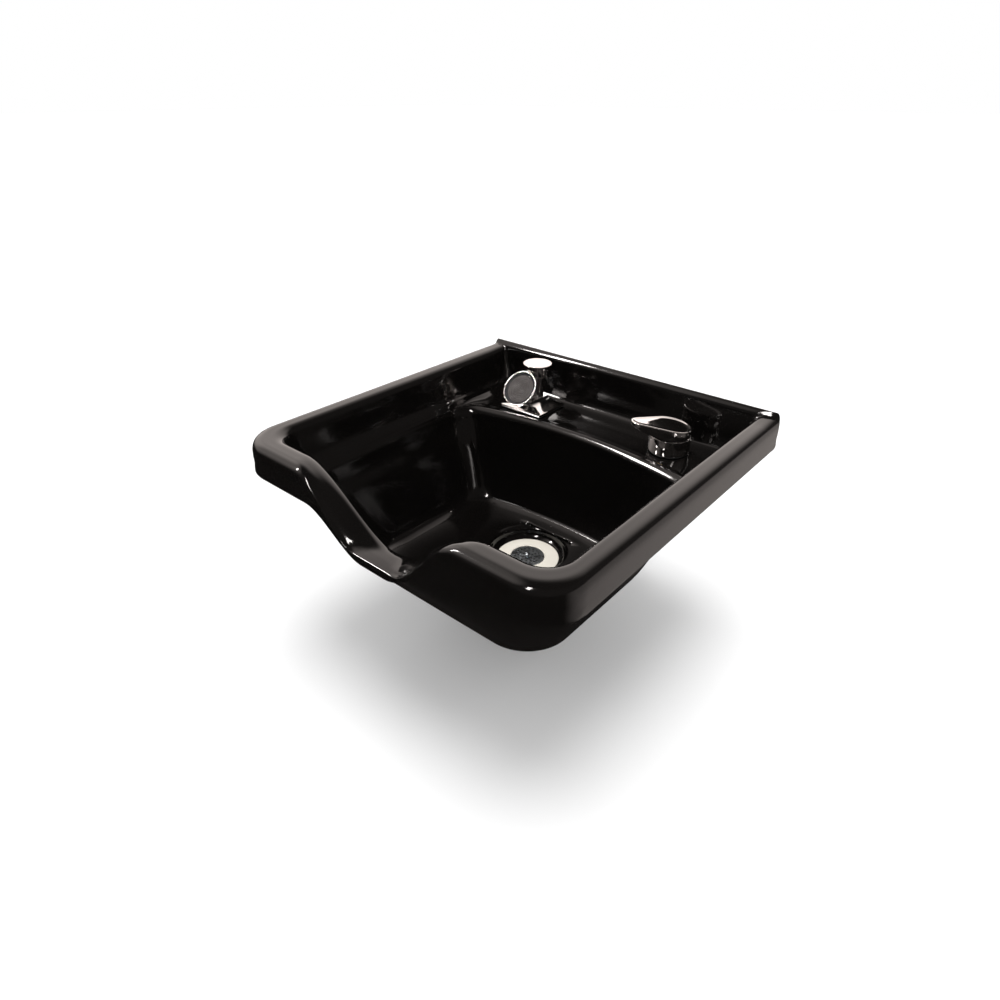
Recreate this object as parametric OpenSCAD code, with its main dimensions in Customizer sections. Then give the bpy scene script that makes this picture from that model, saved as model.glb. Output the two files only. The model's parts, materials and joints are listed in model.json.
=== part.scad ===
// Wall-hung hair-washing bowl with a single-lever mixer, a spray dock with a vacuum breaker and a drain.
// Origin: centre of the flat rear face that stands against the wall, at the height of the side rims.
// +X is the user's right when facing the wall, +Y points into the wall, +Z is up.

/* [Bowl] */
// Width across the side skirts
bowl_w = 508; // [480:1:540]
// Depth from the wall face to the front skirt
bowl_d = 508; // [480:1:540]
// Height of the skirt below the rim
skirt_h = 44; // [38:1:50]
// Depth of the fixture deck below the rim
deck_z = 64; // [58:1:70]
// Depth of the basin floor below the rim
floor_z = 206; // [190:1:220]
// Depth of the drain sump floor below the rim
sump_z = 226; // [216:1:236]
// Depth of the neck rest below the rim
neck_dip = 77; // [60:1:84]
// Half of the width over which the neck rest falls away
neck_reach = 150; // [135:1:160]
// Height of the rear flange above the rim
flange_h = 7; // [5:1:9]
// Distance of the drain axis from the wall
drain_y = 222; // [215:1:230]
// Radius of the hole in the bowl for the drain
drain_hole_r = 29.5; // [29:0.5:31]

/* [Mixer] */
// Distance of the mixer axis to the right of the centre
mixer_x = 127; // [115:1:135]
// Distance of the mixer axis from the wall
mixer_y = 63; // [60:1:68]
// Radius of the mixer body and of the lever hood
mixer_r = 29; // [27:0.5:30]
// Height of the mixer body above the deck
mixer_h = 23; // [20:1:26]
// Direction in which the lever points, from +X towards +Y
lever_turn = 228; // [200:1:250]
// Distance from the mixer axis to the end of the lever
lever_reach = 59; // [50:1:62]
// Upward slope of the lever's top
lever_tilt = 9; // [6:1:10]
// Radius of the copper supply tubes, 3/8 inch outside diameter
tube_r = 4.76; // [4.5:0.01:5]

/* [Spray dock] */
// Distance of the dock axis to the left of the centre
dock_x = 118; // [110:1:124]
// Distance of the dock axis from the wall
dock_y = 66; // [65:1:68]
// Width of the square dock plate
dock_w = 78; // [70:1:80]
// Depth of the square dock plate from front to back
dock_d = 68; // [64:1:70]
// Radius of the bonnet of the vacuum breaker
bonnet_r = 22.5; // [20:0.5:23]
// Height of the bonnet top above the rim
bonnet_top = 6.5; // [4:0.5:9]
// Radius of the ring round the spray face
spray_r = 28.5; // [26:0.5:29]
// Angle of the spray face above the level
spray_tilt = 40; // [36:1:44]
// Forward lean of the stem that carries the spray head
stem_lean = 25; // [22:1:28]
// Radius of the stem that stands in the dock
stem_r = 7.2; // [7:0.1:7.3]

/* [Drain] */
// Radius of the drain flange
drain_flange_r = 47; // [44:1:50]
// Radius of the lift-out strainer
strainer_r = 25; // [23:1:25]
// Outside radius of the tailpiece, 1 1/2 inch
tail_r = 19.05; // [19:0.05:19.1]
// Length of the tailpiece
tail_l = 66; // [60:1:120]

/* [Wall bracket] */
// Width of the wall plate
plate_w = 230; // [210:2:250]
// Height of the wall plate
plate_h = 66; // [60:1:70]
// Thickness of the bracket steel
steel_t = 3; // [2.5:0.5:4]
// Spacing of the wall screw holes across the plate
wall_span = 190; // [170:10:200]
// Spacing of the wall screw holes up the plate
wall_rise = 36; // [30:1:40]

/* [Hidden] */
$fn = 64;
thread_slack = 0.05;
half_w = bowl_w / 2;
deck_t = 10;
deck_under = deck_z + deck_t;
sump_t = 10;
gasket_t = 1.5;
front_r = 50;

// Points of the outline: along half the front, round each corner, along each side, along half the rear
front_n = 10;
corner_n = 5;
side_n = 3;
rear_n = 4;

function smooth(t) = let (c = min(max(t, 0), 1)) c * c * (3 - 2 * c);
function neck(x, dip, flat, reach) = dip * smooth((reach - abs(x)) / (reach - flat));

// One ring of the shell. The insets are measured from the outer box, the heights from the rim.
// in = [side, front, rear], radius = [front, rear], z = [side, rear], dip = [depth, flat, reach], bow = rear curve
function right_half(in, radius, z, dip, bow) =
    let (hx = half_w - in[0], yf = in[1] - bowl_d, yb = -in[2], rf = radius[0], rb = radius[1],
        turn = atan(2 * bow / (hx - rb)), xe = hx - rb + rb * sin(turn), cy = yb - bow - rb * cos(turn))
    concat(
        [for (i = [0:front_n]) let (x = (hx - rf) * i / front_n)
            [x, yf, z[0] - neck(x, dip[0], dip[1], dip[2])]],
        [for (i = [1:corner_n]) let (a = 90 * i / corner_n - 90)
            [hx - rf + rf * cos(a), yf + rf + rf * sin(a), z[0]]],
        [for (i = [1:side_n]) [hx, yf + rf + (cy - yf - rf) * i / side_n, z[0]]],
        [for (i = [1:corner_n]) let (a = (90 - turn) * i / corner_n)
            [hx - rb + rb * cos(a), cy + rb * sin(a), z[0] + (z[1] - z[0]) * smooth(i / corner_n)]],
        [for (i = [1:rear_n]) let (x = xe * (1 - i / rear_n)) [x, yb - bow * pow(x / xe, 2), z[1]]]);
function ring(in, radius, z, dip = [0, 0, 100], bow = 0) =
    let (half = right_half(in, radius, z, dip, bow), n = len(half))
    concat(half, [for (i = [n - 2:-1:1]) [-half[i][0], half[i][1], half[i][2]]]);

// Skirt and rim, from the hem up and over to the inside edge
rim_rings = [
    ring([0, 0, 0], [front_r, 5], [-skirt_h, -skirt_h], [neck_dip * 0.6, 20, 115]),
    ring([0, 0, 0], [front_r, 5], [-30, -28], [neck_dip * 0.7, 25, 118]),
    ring([0, 0, 0], [front_r, 5], [-18, 2], [neck_dip * 0.83, 30, 121]),
    ring([0.8, 1, 0.6], [front_r, 5], [-9, flange_h - 1.6], [neck_dip * 0.92, 33, 124]),
    ring([3, 4, 2], [49, 5], [-3.5, flange_h - 0.2], [neck_dip * 0.98, 34, 127]),
    ring([8, 9, 3.4], [46, 4.5], [-0.6, flange_h], [neck_dip, 28, 131]),
    ring([17, 19, 5.4], [42, 4.2], [0, flange_h - 1], [neck_dip, 16, 138]),
    ring([25, 29, 7.6], [38, 4], [-1, flange_h - 2.8], [neck_dip, 4, 146]),
    ring([30, 36, 9.6], [33, 4], [-5, flange_h - 5.6], [neck_dip, 0, neck_reach]),
    ring([32.5, 39.5, 11], [30, 5], [-14, -6], [neck_dip, 0, neck_reach])];
// Rear wall of the recess, deck and raised bead
deck_rings = [
    ring([36, 42, 13], [32, 10], [-34, -32], [62, 0, neck_reach]),
    ring([40, 44.5, 15.5], [36, 14], [-49, -52], [54, 0, neck_reach]),
    ring([43.5, 46, 19], [38, 15], [-55, -60.5], [51, 0, neck_reach]),
    ring([45, 47, 26], [40, 16], [-58, -deck_z], [49, 0, neck_reach]),
    ring([46, 48, 60], [42, 18], [-60, -deck_z], [48, 0, neck_reach]),
    ring([47, 49, 97], [44, 26], [-62, -deck_z], [47, 0, neck_reach], 21),
    ring([48, 50, 102], [46, 30], [-64, 1.8 - deck_z], [46, 0, neck_reach], 22),
    ring([49, 51, 107], [48, 32], [-66.5, 2.2 - deck_z], [45, 0, neck_reach], 22),
    ring([50.5, 52, 111.5], [50, 34], [-70, -1.5 - deck_z], [43, 0, neck_reach], 22)];
basin_rings = [
    ring([54, 55, 115], [54, 36], [-85, -80], [36, 0, neck_reach], 22),
    ring([65, 62, 121], [60, 40], [-115, -110], [22, 0, neck_reach], 20),
    ring([77, 74, 129], [64, 42], [-148, -146], [9, 0, neck_reach], 16),
    ring([89, 90, 139], [66, 42], [-178, -177], [0, 0, neck_reach], 12),
    ring([95, 97, 145], [66, 40], [-191, -190], [0, 0, neck_reach], 10),
    ring([101, 104, 151], [64, 38], [-200, -200], [0, 0, neck_reach], 9),
    ring([110, 115, 160], [60, 34], [2 - floor_z, 2 - floor_z], [0, 0, neck_reach], 8),
    ring([122, 129, 170], [56, 30], [-floor_z, -floor_z], [0, 0, neck_reach], 4)];
// Round rings about the drain, with their points in line with those of the floor's outline
floor_ring = basin_rings[len(basin_rings) - 1];
function round_ring(r, z) =
    [for (p = floor_ring) let (a = atan2(p[1] + drain_y, p[0])) [r * cos(a), r * sin(a) - drain_y, z]];
sump_rings = [
    round_ring(64, -floor_z - 3),
    round_ring(59, -floor_z - 5),
    round_ring(55, 4 - sump_z),
    round_ring(51, -sump_z),
    round_ring(27, -sump_z)];
// Underside, from the drain outwards and up behind the skirt to the hem
under_rings = [
    round_ring(27, -sump_z - sump_t),
    round_ring(58, -sump_z - sump_t),
    round_ring(66, -sump_z - 6),
    ring([110, 114, 158], [58, 34], [-floor_z - 10, -floor_z - 10], [0, 0, neck_reach], 6),
    ring([97, 101, 148], [62, 38], [-floor_z - 5, -floor_z - 5], [0, 0, neck_reach], 8),
    ring([90, 93, 140], [66, 42], [6 - floor_z, 6 - floor_z], [0, 0, neck_reach], 9),
    ring([82, 83, 131], [66, 42], [-182, -182], [0, 0, neck_reach], 12),
    ring([69.5, 66, 121], [64, 42], [-150, -148], [9, 0, neck_reach], 16),
    ring([57, 53, 113], [60, 40], [-117, -110], [22, 0, neck_reach], 20),
    ring([46, 46, 106], [54, 36], [-86, -83], [36, 0, neck_reach], 20),
    ring([43, 43.5, 101], [50, 34], [-76, -deck_under], [40, 0, neck_reach], 20),
    ring([41.5, 42, 60], [46, 26], [-70, -deck_under], [44, 0, neck_reach]),
    ring([39, 40, 16], [42, 14], [-64, -deck_under], [47, 0, neck_reach]),
    ring([34, 36.5, 11], [38, 10], [-50, -69], [53, 0, neck_reach]),
    ring([27.5, 33, 9.6], [34, 7], [-20, -62], [68, 0, neck_reach]),
    ring([22, 28, 8.8], [36, 5], [-10, -57], [neck_dip - 1, 8, 144]),
    ring([13, 16, 8.2], [40, 4], [-8.6, -53], [neck_dip - 1, 22, 134]),
    ring([8.5, 9.5, 7.4], [43, 4], [-13, -49], [neck_dip - 6, 32, 126]),
    ring([7, 8, 7], [43, 4], [-20, -46], [neck_dip - 14, 28, 120]),
    ring([6.5, 7.5, 6.6], [43, 4], [0.5 - skirt_h, 0.5 - skirt_h], [neck_dip * 0.6, 20, 115])];
shell_rings = concat(rim_rings, deck_rings, basin_rings, sump_rings, under_rings);

// A closed tube of rings: the last ring joins the first
module ring_solid(rings) {
    n = len(rings[0]);
    m = len(rings);
    polyhedron(
        points = [for (r = rings) each r],
        faces = [for (k = [0:m - 1], i = [0:n - 1])
            let (a = k * n + i, b = k * n + (i + 1) % n, c = ((k + 1) % m) * n + (i + 1) % n, d = ((k + 1) % m) * n + i)
            each [[a, b, c], [a, c, d]]],
        convexity = 12);
}

// A tube of revolution between two heights
module tube(r_out, r_in, z_low, z_high) {
    difference() {
        translate([0, 0, z_low]) cylinder(r = r_out, h = z_high - z_low);
        translate([0, 0, z_low - 1]) cylinder(r = r_in, h = z_high - z_low + 2);
    }
}

// A six-sided nut between two heights
module hex_nut(r_corner, r_in, z_low, z_high) {
    difference() {
        translate([0, 0, z_low]) cylinder(r = r_corner, h = z_high - z_low, $fn = 6);
        translate([0, 0, z_low - 1]) cylinder(r = r_in, h = z_high - z_low + 2);
    }
}

module at_mixer() translate([mixer_x, -mixer_y, 0]) children();
module at_dock() translate([-dock_x, -dock_y, 0]) children();
module at_drain() translate([0, -drain_y, 0]) children();

/* Bowl and wall fixing */
dock_hole_r = 20.6;
mixer_hole_r = 17.6;

module bowl() {
    color([0.03, 0.03, 0.03]) difference() {
        ring_solid(shell_rings);
        at_drain() translate([0, 0, -sump_z - sump_t - 1]) cylinder(r = drain_hole_r, h = sump_t + 2);
        at_mixer() translate([0, 0, -deck_under - 1]) cylinder(r = mixer_hole_r, h = deck_t + 2);
        at_dock() translate([0, 0, -deck_under - 1]) cylinder(r = dock_hole_r, h = deck_t + 2);
    }
}

board_w = 150;
board_d = 76;
board_t = 16;
board_front = 90;
board_under = deck_under + board_t;
clamp_span = 76;
clamp_y = 52;
insert_r = 5;
bolt_r = 3;

module at_clamps() for (side = [-1, 1]) translate([side * clamp_span / 2, -clamp_y, 0]) children();

module backing_board() {
    color([0.55, 0.42, 0.28]) difference() {
        translate([-board_w / 2, -board_front, -board_under]) cube([board_w, board_d, board_t]);
        at_clamps() translate([0, 0, -board_under - 1]) cylinder(r = insert_r, h = board_t - 1);
    }
}

module board_inserts() {
    color("gold") at_clamps() tube(insert_r, bolt_r + thread_slack, -board_under, -board_under + 13);
}

shelf_d = 26;
tongue_w = 120;
tongue_d = 84;
gusset_h = 52;

module wall_bracket() {
    color([0.12, 0.12, 0.13]) difference() {
        union() {
            translate([-plate_w / 2, -steel_t, -board_under - plate_h]) cube([plate_w, steel_t, plate_h]);
            translate([-plate_w / 2, -shelf_d, -board_under - steel_t]) cube([plate_w, shelf_d, steel_t]);
            translate([-tongue_w / 2, -tongue_d, -board_under - steel_t]) cube([tongue_w, tongue_d, steel_t]);
            for (side = [-1, 1]) translate([side * (tongue_w - steel_t) / 2 + steel_t / 2, 0, -board_under])
                rotate([90, 0, -90]) linear_extrude(steel_t)
                    polygon([[steel_t / 2, -steel_t / 2], [tongue_d - 4, -steel_t / 2],
                        [tongue_d - 4, -steel_t - 8], [steel_t / 2, -gusset_h]]);
        }
        for (x = [-1, 1], z = [-1, 1])
            translate([x * wall_span / 2, -steel_t - 1, -board_under - plate_h / 2 + z * wall_rise / 2])
                rotate([-90, 0, 0]) cylinder(r = 3.5, h = steel_t + 2);
        at_clamps() translate([0, 0, -board_under - steel_t - 1]) cylinder(r = 3.4, h = steel_t + 2);
    }
}

module clamp_washers() {
    color("silver") at_clamps() tube(9, 3.2, -board_under - steel_t - 1.6, -board_under - steel_t);
}

module clamp_bolts() {
    head_top = -board_under - steel_t - 1.6;
    color("silver") at_clamps() {
        translate([0, 0, head_top - 5]) cylinder(r = 5.8, h = 5, $fn = 6);
        translate([0, 0, head_top - 0.5]) cylinder(r = bolt_r, h = 12 - head_top - board_under + 0.5);
    }
}

/* Drain */
barrel_r = 28.5;
barrel_bore = 23.5;
barrel_end = -sump_z - 46;
flange_top = 3.5 - sump_z;

module drain_flange() {
    color([0.93, 0.91, 0.85]) at_drain() rotate_extrude() polygon(concat(
        [[barrel_bore, barrel_end], [barrel_bore, -sump_z - 6], [strainer_r + 0.4, -sump_z - 2],
            [strainer_r + 0.4, flange_top - 1.2], [strainer_r + 1.2, flange_top - 0.4]],
        [for (i = [0:8]) let (t = i / 8) [29 + (drain_flange_r - 29) * t, flange_top - 2.2 * t * t * t]],
        [[drain_flange_r, -sump_z + 0.8], [barrel_r, -sump_z + 0.8], [barrel_r, barrel_end]]));
}

module drain_seal() {
    color([0.75, 0.75, 0.7]) at_drain()
        tube(drain_flange_r - 3, barrel_r + thread_slack, -sump_z, -sump_z + 0.8);
}

module drain_gasket() {
    color([0.1, 0.1, 0.1]) at_drain()
        tube(42, barrel_r + thread_slack, -sump_z - sump_t - 3, -sump_z - sump_t);
}

module drain_washer() {
    color([0.8, 0.8, 0.78]) at_drain()
        tube(41, barrel_r + thread_slack, -sump_z - sump_t - 4.2, -sump_z - sump_t - 3);
}

module drain_locknut() {
    nut_top = -sump_z - sump_t - 4.2;
    color("goldenrod") at_drain() {
        hex_nut(40, barrel_r + thread_slack, nut_top - 9, nut_top - 2);
        tube(37, barrel_r + thread_slack, nut_top - 2, nut_top);
    }
}

module strainer() {
    grid = 5.4;
    top = flange_top - 0.6;
    color([0.55, 0.57, 0.58]) at_drain() difference() {
        union() {
            translate([0, 0, top - 1.6]) cylinder(r = strainer_r, h = 1.6);
            tube(22, 20.6, top - 16, top - 1.6);
        }
        for (ring_i = [1:3], i = [0:ring_i * 6 - 1])
            rotate(i * 60 / ring_i) translate([ring_i * grid + 2.4, 0, top - 3])
                cylinder(r = 1.7, h = 4, $fn = 16);
    }
}

module strainer_knob() {
    top = flange_top - 0.6;
    color("silver") at_drain() rotate_extrude()
        polygon([[0, top], [3.2, top], [2.4, top + 1.6], [3.6, top + 3.4], [2.6, top + 4.6], [0, top + 5]]);
}

tail_top = barrel_end + 12;
bead_drop = 8;

module tailpiece() {
    color("silver") at_drain() {
        tube(tail_r, tail_r - 1.2, tail_top - tail_l, barrel_end - 1.6);
        tube(barrel_r - 1, tail_r - 1.2, barrel_end - 1.6, barrel_end - 0.6);
        tube(tail_r + 1.6, tail_r - 1.2, barrel_end - bead_drop, barrel_end - bead_drop + 2);
    }
}

module tailpiece_washer() {
    color([0.95, 0.95, 0.95]) at_drain() tube(barrel_r - 1, tail_r - 0.6, barrel_end - 0.6, barrel_end);
}

module tailpiece_nut() {
    nut_r = barrel_r + 3.6;
    color("silver") at_drain() difference() {
        union() {
            translate([0, 0, barrel_end - 5]) cylinder(r = nut_r, h = 17);
            for (i = [0:7])
                rotate(i * 45) translate([nut_r - 0.5, 0, barrel_end + 3.5]) cube([4, 5, 15], center = true);
        }
        translate([0, 0, barrel_end - 1.7]) cylinder(r = barrel_r + thread_slack, h = 15);
        translate([0, 0, barrel_end - 6]) cylinder(r = tail_r + 0.4, h = 6);
    }
}

/* Mixer */
mixer_base = -deck_z + gasket_t;
mixer_top = mixer_base + mixer_h;
shank_end = -deck_under - 34;
neck_r = 24.5;
neck_top = mixer_top + 1.6;
seat_z = mixer_base + 9;
port_r = tube_r + thread_slack;
port_offset = 8.5;

module at_port(i) rotate(lever_turn + i * 120) translate([port_offset, 0, 0]) children();

module mixer_gasket() {
    color([0.1, 0.1, 0.1]) at_mixer() tube(mixer_r - 1, mixer_hole_r - 0.6, -deck_z, mixer_base);
}

module mixer_body() {
    color("silver") at_mixer() difference() {
        union() {
            rotate_extrude() polygon([[0, mixer_base], [mixer_r - 0.6, mixer_base], [mixer_r, mixer_base + 0.6],
                [mixer_r, mixer_top - 0.6], [mixer_r - 0.6, mixer_top], [0, mixer_top]]);
            translate([0, 0, mixer_top - 1]) cylinder(r = neck_r, h = neck_top - mixer_top + 1);
        }
        translate([0, 0, seat_z]) cylinder(r = 19, h = mixer_h);
        translate([0, 0, mixer_base - 1]) cylinder(r = 16.5 + thread_slack, h = 5);
        for (i = [0:2]) at_port(i) translate([0, 0, mixer_base]) cylinder(r = 3.2, h = mixer_h);
    }
}

module mixer_shank() {
    color("goldenrod") at_mixer() difference() {
        translate([0, 0, shank_end]) cylinder(r = 16.5, h = mixer_base + 4 - shank_end);
        for (i = [0:2]) at_port(i) {
            translate([0, 0, shank_end - 1]) cylinder(r = port_r, h = 23);
            translate([0, 0, shank_end]) cylinder(r = 3.2, h = 70);
        }
    }
}

module mixer_washer() {
    color("silver") at_mixer() tube(24, 17, -deck_under - 2.5, -deck_under);
}

module mixer_locknut() {
    color("goldenrod") at_mixer() {
        hex_nut(24, 16.5 + thread_slack, -deck_under - 12, -deck_under - 4);
        tube(21, 16.5 + thread_slack, -deck_under - 4, -deck_under - 2.5);
    }
}

cartridge_top = neck_top;

module cartridge() {
    color([0.85, 0.85, 0.82]) at_mixer() difference() {
        union() {
            translate([0, 0, seat_z]) cylinder(r = 17.5, h = cartridge_top - seat_z);
            translate([0, 0, seat_z]) cylinder(r = 18.9, h = 3);
        }
        translate([0, 0, cartridge_top - 9]) cylinder(r = 6.2, h = 10);
        for (i = [0:2]) at_port(i) translate([0, 0, seat_z - 1]) cylinder(r = 3.2, h = 7);
    }
}

module cartridge_nut() {
    color("goldenrod") at_mixer() tube(18.95, 17.55, seat_z + 8, cartridge_top - 1);
}

// The lever hinges on a cross pin behind the mixer axis
pin_r = 1.6;
pin_back = 14;
pin_z = mixer_top + 4;
pin_half = 24;
hood_low = mixer_top + 0.5;
hood_mid = mixer_top + 15.5;
hood_wall = 2;
roof_t = 2.5;
relief_x = -12;
relief_angle = 14;

module on_lever() at_mixer() rotate(lever_turn) children();

// Height of the sloping top of the hood at a distance along the lever
function hood_top(x) = hood_mid + x * tan(lever_tilt);

// The stem turns on the mixer axis and carries the lever on a round table
module cartridge_stem() {
    table_low = neck_top + 0.3;
    color([0.7, 0.7, 0.68]) on_lever() difference() {
        union() {
            translate([0, 0, cartridge_top - 8.6]) cylinder(r = 5.8, h = 9.6);
            translate([0, 0, table_low]) cylinder(r = neck_r - 0.5, h = 4.2);
        }
        translate([-pin_back, 0, pin_z]) rotate([90, 0, 0])
            cylinder(r = pin_r + thread_slack, h = 60, center = true);
    }
}

// Teardrop outline of the lever seen from above, with the lever along +X
module lever_outline() {
    end_r = 13.5;
    hull() {
        circle(r = mixer_r);
        translate([lever_reach - end_r, 0]) circle(r = end_r);
    }
}

// Keeps what lies inside a side view, drawn in X and Z
module side_view(points) {
    intersection() {
        children();
        translate([0, 40, 0]) rotate([90, 0, 0]) linear_extrude(80) polygon(points);
    }
}

screw_z = hood_top(-mixer_r) - 3;

module lever() {
    rear = -mixer_r - 1;
    tip = lever_reach + 1;
    tip_low = hood_top(tip) - 6;
    color("silver") on_lever() {
        difference() {
            side_view([[rear, hood_low - (rear - relief_x) * tan(relief_angle)], [relief_x, hood_low], [20, hood_low],
                    [tip, tip_low], [tip, hood_top(tip)], [rear, hood_top(rear)]])
                translate([0, 0, hood_low - 1]) linear_extrude(40) lever_outline();
            side_view([[-mixer_r, hood_low - 3], [mixer_r, hood_low - 3], [mixer_r, hood_top(mixer_r) - roof_t],
                    [-mixer_r, hood_top(-mixer_r) - roof_t]])
                translate([0, 0, hood_low - 2]) cylinder(r = mixer_r - hood_wall, h = 40);
            translate([-mixer_r - 1, 0, screw_z]) rotate([0, 90, 0]) cylinder(r = 1.8, h = 8);
        }
        translate([-pin_back, 0, pin_z]) rotate([90, 0, 0]) cylinder(r = pin_r, h = 2 * pin_half, center = true);
    }
}

module lever_screw() {
    color([0.3, 0.3, 0.3]) on_lever()
        translate([-mixer_r + 0.9, 0, screw_z]) rotate([0, 90, 0]) cylinder(r = 1.78, h = 2.4);
}

module lever_plug() {
    color([0.2, 0.2, 0.22]) on_lever()
        translate([-mixer_r + 0.1, 0, screw_z]) rotate([0, 90, 0]) cylinder(r = 1.78, h = 0.8);
}

tube_end = -deck_under - 76;
collar_t = 2;

module supply_tube(i) {
    at_mixer() at_port(i) {
        tube(tube_r, tube_r - 0.9, tube_end, shank_end + 21);
        tube(tube_r + 1.4, tube_r - 0.9, shank_end - collar_t, shank_end);
    }
}

module hot_tube() color([0.72, 0.45, 0.3]) supply_tube(1);
module cold_tube() color([0.72, 0.45, 0.3]) supply_tube(2);

// The transfer tube runs from the mixer's outlet port across to the inlet of the dock shank
port_x = mixer_x + port_offset * cos(lever_turn);
port_y = mixer_y - port_offset * sin(lever_turn);
inlet_y = dock_y - 10;
bend_r = 18;
run_z = -deck_under - 58;

module transfer_leg(z_top) tube(tube_r, tube_r - 0.9, run_z + bend_r, z_top);

module transfer_bend() {
    rotate([90, 0, 0]) rotate_extrude(angle = 90) translate([bend_r, 0]) difference() {
        circle(r = tube_r);
        circle(r = tube_r - 0.9);
    }
}

module transfer_tube() {
    run = [port_x + dock_x, inlet_y - port_y];
    turn = atan2(-run[1], -run[0]);
    span = norm(run);
    color([0.72, 0.45, 0.3]) translate([port_x, -port_y, 0]) rotate(turn) {
        transfer_leg(shank_end + 21);
        translate([bend_r, 0, run_z + bend_r]) rotate([0, 0, 180]) mirror([0, 0, 1]) transfer_bend();
        translate([bend_r, 0, run_z]) rotate([0, 90, 0]) tube(tube_r, tube_r - 0.9, 0, span - 2 * bend_r);
        translate([span - bend_r, 0, run_z + bend_r]) mirror([0, 0, 1]) transfer_bend();
        translate([span, 0, 0]) transfer_leg(dock_shank_end + 15);
    }
}

module transfer_nuts() {
    color("goldenrod") {
        translate([port_x, -port_y, 0]) hex_nut(7.6, tube_r + thread_slack, shank_end - 8, shank_end);
        translate([-dock_x, -inlet_y, 0]) hex_nut(7.6, tube_r + thread_slack, dock_shank_end - 8, dock_shank_end);
    }
}

/* Spray dock and vacuum breaker */
dock_base = -deck_z + gasket_t;
dock_top = dock_base + 15;
dock_shank_r = 20;
dock_shank_end = -deck_under - 30;
hose_y = dock_y + 14;
hose_bore = 8.5;
hose_way_y = hose_y - (dock_top - dock_base) * tan(stem_lean);
breaker_y = dock_y - 10;
boss_r = 11;
boss_h = boss_r * tan(stem_lean);

// The spray stem's frame: its origin is on top of the plate and its Z axis runs up the leaning stem
module in_stem() translate([-dock_x, -hose_y, dock_top]) rotate([stem_lean, 0, 0]) children();

module dock_gasket() {
    color([0.1, 0.1, 0.1]) translate([-dock_x, -dock_y, 0]) difference() {
        translate([1 - dock_w / 2, 1 - dock_d / 2, -deck_z]) cube([dock_w - 2, dock_d - 2, gasket_t]);
        translate([0, 0, -deck_z - 1]) cylinder(r = dock_shank_r + 0.3, h = gasket_t + 2);
    }
}

// Square rings from the plate edge up a hollow-sided pyramid to the flat top
plate_edge = 4;
pyramid_n = 7;
function pyramid_ring(k) =
    let (t = k / pyramid_n, fall = pow(1 - t, 2.2), w = dock_w / 2 - 1, d = dock_d / 2 - 1,
        x = 13 + (w - 13) * fall, y = 24 + (d - 24) * fall, z = dock_base + plate_edge + (dock_top - dock_base - plate_edge) * t)
    [[-x, -y, z], [x, -y, z], [x, y, z], [-x, y, z]];

module dock_pyramid() {
    rings = concat([[[-dock_w / 2, -dock_d / 2, dock_base], [dock_w / 2, -dock_d / 2, dock_base],
        [dock_w / 2, dock_d / 2, dock_base], [-dock_w / 2, dock_d / 2, dock_base]],
        [[-dock_w / 2, -dock_d / 2, dock_base + plate_edge - 1], [dock_w / 2, -dock_d / 2, dock_base + plate_edge - 1],
        [dock_w / 2, dock_d / 2, dock_base + plate_edge - 1], [-dock_w / 2, dock_d / 2, dock_base + plate_edge - 1]]],
        [for (k = [0:pyramid_n]) pyramid_ring(k)]);
    m = len(rings);
    polyhedron(
        points = [for (r = rings) each r],
        faces = concat([[0, 1, 2, 3], [for (i = [3:-1:0]) (m - 1) * 4 + i]],
            [for (k = [0:m - 2], i = [0:3]) let (a = k * 4 + i, b = k * 4 + (i + 1) % 4)
                each [[a, a + 4, b + 4], [a, b + 4, b]]]));
}

module dock_plate() {
    color("silver") difference() {
        union() {
            at_dock() dock_pyramid();
            in_stem() translate([0, 0, -8]) cylinder(r = boss_r, h = boss_h + 8);
        }
        in_stem() translate([0, 0, -30]) cylinder(r = hose_bore, h = 40);
        translate([-dock_x, -breaker_y, dock_base - 1]) cylinder(r = 5, h = 20);
    }
}

module dock_shank() {
    color("goldenrod") difference() {
        at_dock() translate([0, 0, dock_shank_end]) cylinder(r = dock_shank_r, h = dock_base - dock_shank_end);
        translate([-dock_x, -hose_way_y, dock_shank_end - 1]) cylinder(r = hose_bore, h = 60);
        translate([-dock_x, -breaker_y, dock_shank_end - 1]) {
            cylinder(r = port_r, h = 17);
            cylinder(r = 3.2, h = 60);
        }
    }
}

module dock_washer() {
    color("silver") at_dock() tube(28, dock_shank_r + 0.4, -deck_under - 2.5, -deck_under);
}

module dock_locknut() {
    color("goldenrod") at_dock() {
        hex_nut(28, dock_shank_r + thread_slack, -deck_under - 12, -deck_under - 4);
        tube(25, dock_shank_r + thread_slack, -deck_under - 4, -deck_under - 2.5);
    }
}

module dock_bush() {
    color([0.15, 0.15, 0.15]) in_stem() {
        tube(hose_bore - 0.05, stem_r + 0.35, -10, boss_h);
        tube(hose_bore + 0.9, stem_r + 0.35, boss_h, boss_h + 1);
    }
}

chamber_low = bonnet_top - 22;
chamber_high = bonnet_top - 9;

module breaker_body() {
    color("silver") translate([-dock_x, -breaker_y, 0]) difference() {
        rotate_extrude() polygon([[0, dock_top], [11.5, dock_top], [11, dock_top + 2], [11, chamber_low - 1],
            [17, chamber_low + 1], [17, chamber_high], [0, chamber_high]]);
        translate([0, 0, dock_top - 1]) cylinder(r = 4, h = 60);
        translate([0, 0, chamber_low + 2.5]) cylinder(r = 13, h = 20);
    }
}

module breaker_seal() {
    color([0.1, 0.1, 0.1]) translate([-dock_x, -breaker_y, 0]) tube(12.8, 6, chamber_low + 2.5, chamber_low + 4);
}

module breaker_float() {
    color([0.9, 0.9, 0.88]) translate([-dock_x, -breaker_y, 0]) {
        translate([0, 0, chamber_low + 4]) cylinder(r = 12, h = 2);
        translate([0, 0, chamber_low - 8]) cylinder(r = 2.4, h = 13);
    }
}

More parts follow.
